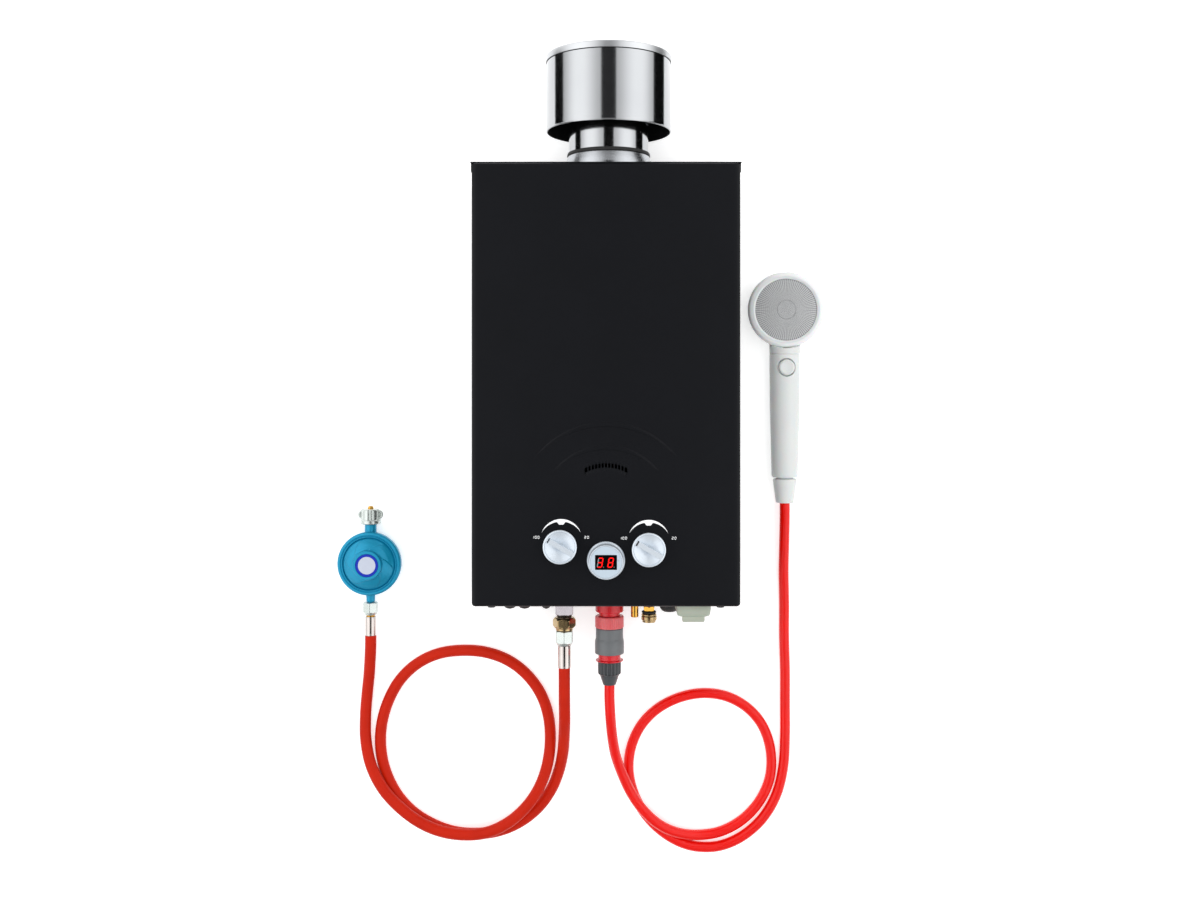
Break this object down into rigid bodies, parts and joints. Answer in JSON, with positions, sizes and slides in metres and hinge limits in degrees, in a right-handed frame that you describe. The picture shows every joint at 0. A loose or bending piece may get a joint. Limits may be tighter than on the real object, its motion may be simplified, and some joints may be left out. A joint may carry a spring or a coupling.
{
  "type": "portable propane water heater",
  "caption": "Box-shaped gas water heater with a rain cap, two knobs, a display, gas hose with regulator, and shower hose with handset, lying on its back.",
  "frame": {"origin": "centre of the casing's footprint, on the back face that it lies on and hangs by", "axes": "+X to the heater's right, +Y up towards the flue, +Z out of its front"},
  "size_m": [0.5708, 0.928, 0.165],
  "materials": {
    "black_steel": "satin black powder coat",
    "black_rubber": "matt moulded rubber",
    "dark_screw": "black screws",
    "stainless": "rolled stainless sheet",
    "silver_plastic": "silver painted ABS",
    "brass": "turned brass",
    "dark_brass": "dull brass",
    "dark_window": "smoked red window",
    "circuit_board": "circuit board",
    "nickel": "nickel plated",
    "zinc": "bright zinc plated",
    "orange_rubber": "smooth orange-red rubber",
    "blue_paint": "metallic blue paint",
    "white_label": "bare white label",
    "red_plastic": "red plastic",
    "grey_plastic": "dark grey plastic",
    "red_hose": "glossy red braided hose",
    "pale_plastic": "pale milky plastic",
    "cell_can": "plain cell jacket",
    "inner_steel": "aluminised steel",
    "copper": "copper",
    "cast_aluminium": "die cast",
    "white_plastic": "white ABS",
    "spray_grey": "grey perforated plate"
  },
  "bodies": {
    "heater": {"back_plate": "black_steel", "base_plate": "black_steel", "front_cover": "black_steel", "top_cover": "black_steel", "base_plugs": "black_rubber", "cover_screws": "dark_screw", "flue_skirt": "stainless", "flue_pipe": "stainless", "cap_stays": "stainless", "cap_drum": "stainless", "cap_lid": "stainless", "display_bezel": "silver_plastic", "display_window": "dark_window", "display_board": "circuit_board", "gas_inlet": "nickel", "gas_hose_nut": "zinc", "gas_ferrule": "zinc", "gas_hose": "orange_rubber", "regulator_ferrule": "zinc", "regulator_body": "blue_paint", "regulator_cover": "blue_paint", "regulator_label": "white_label", "regulator_nipple": "brass", "outlet_adapter": "red_plastic", "connector_core": "red_plastic", "connector_nut": "grey_plastic", "water_hose": "red_hose", "relief_stub": "brass", "drain_valve": "brass", "water_inlet": "brass", "battery_box": "pale_plastic", "battery_hinge_pin": "stainless", "battery_cells": "cell_can", "flue_hood": "inner_steel", "heat_exchanger": "copper", "fin_block": "copper", "burner": "inner_steel", "gas_valve": "cast_aluminium", "water_valve": "brass", "water_pipes": "copper", "igniter": "grey_plastic", "handset_body": "white_plastic", "handset_rim": "white_plastic", "spray_plate": "spray_grey"},
    "gas_knob": {"gas_knob": "silver_plastic", "gas_spindle": "brass"},
    "water_knob": {"water_knob": "silver_plastic", "water_spindle": "brass"},
    "union_nut": {"gas_union_nut": "dark_brass"},
    "regulator_nut": {"regulator_nut": "zinc"},
    "regulator_wheel": {"regulator_wheel": "zinc"},
    "connector_sleeve": {"connector_sleeve": "grey_plastic"},
    "drain_cap": {"drain_cap": "dark_brass"},
    "inlet_cap": {"inlet_cap": "black_rubber"},
    "battery_lid": {"battery_lid": "pale_plastic"},
    "handset_button": {"handset_button": "white_plastic"},
    "handset_nut": {"handset_nut": "white_plastic"}
  },
  "joints": [
    {"name": "gas_knob_turn", "type": "hinge", "parent": "heater", "child": "gas_knob", "pos_m": [-0.049, -0.173, 0.15], "axis": [0, 0, 1], "range_deg": [-120, 0]},
    {"name": "water_knob_turn", "type": "hinge", "parent": "heater", "child": "water_knob", "pos_m": [0.0455, -0.176, 0.15], "axis": [0, 0, 1], "range_deg": [-120, 0]},
    {"name": "union_nut_turn", "type": "hinge", "parent": "heater", "child": "union_nut", "pos_m": [-0.048, -0.275, 0.052], "axis": [0, 1, 0], "continuous": true},
    {"name": "regulator_nut_turn", "type": "hinge", "parent": "heater", "child": "regulator_nut", "pos_m": [-0.278, -0.265, 0.017], "axis": [0, 1, 0], "continuous": true},
    {"name": "regulator_wheel_turn", "type": "hinge", "parent": "heater", "child": "regulator_wheel", "pos_m": [-0.278, -0.155, 0.017], "axis": [0, 1, 0], "continuous": true},
    {"name": "connector_sleeve_pull", "type": "slide", "parent": "heater", "child": "connector_sleeve", "axis": [0, -1, 0], "range_m": [0, 0.005], "stiffness_N_per_m": 500, "springref_m": -0.001},
    {"name": "drain_cap_turn", "type": "hinge", "parent": "heater", "child": "drain_cap", "pos_m": [0.0495, -0.27, 0.052], "axis": [0, 1, 0], "continuous": true},
    {"name": "inlet_cap_pull", "type": "slide", "parent": "heater", "child": "inlet_cap", "axis": [0, -1, 0], "range_m": [0, 0.03]},
    {"name": "battery_lid_swing", "type": "hinge", "parent": "heater", "child": "battery_lid", "pos_m": [0.0955, -0.2448, 0.0906], "axis": [1, 0, 0], "range_deg": [0, 95]},
    {"name": "handset_button_press", "type": "slide", "parent": "heater", "child": "handset_button", "axis": [0, 0, -1], "range_m": [0, 0.0025], "stiffness_N_per_m": 400, "springref_m": -0.001},
    {"name": "handset_nut_turn", "type": "hinge", "parent": "heater", "child": "handset_nut", "pos_m": [0.211, -0.12, 0.018], "axis": [0, 1, 0], "continuous": true}
  ]
}
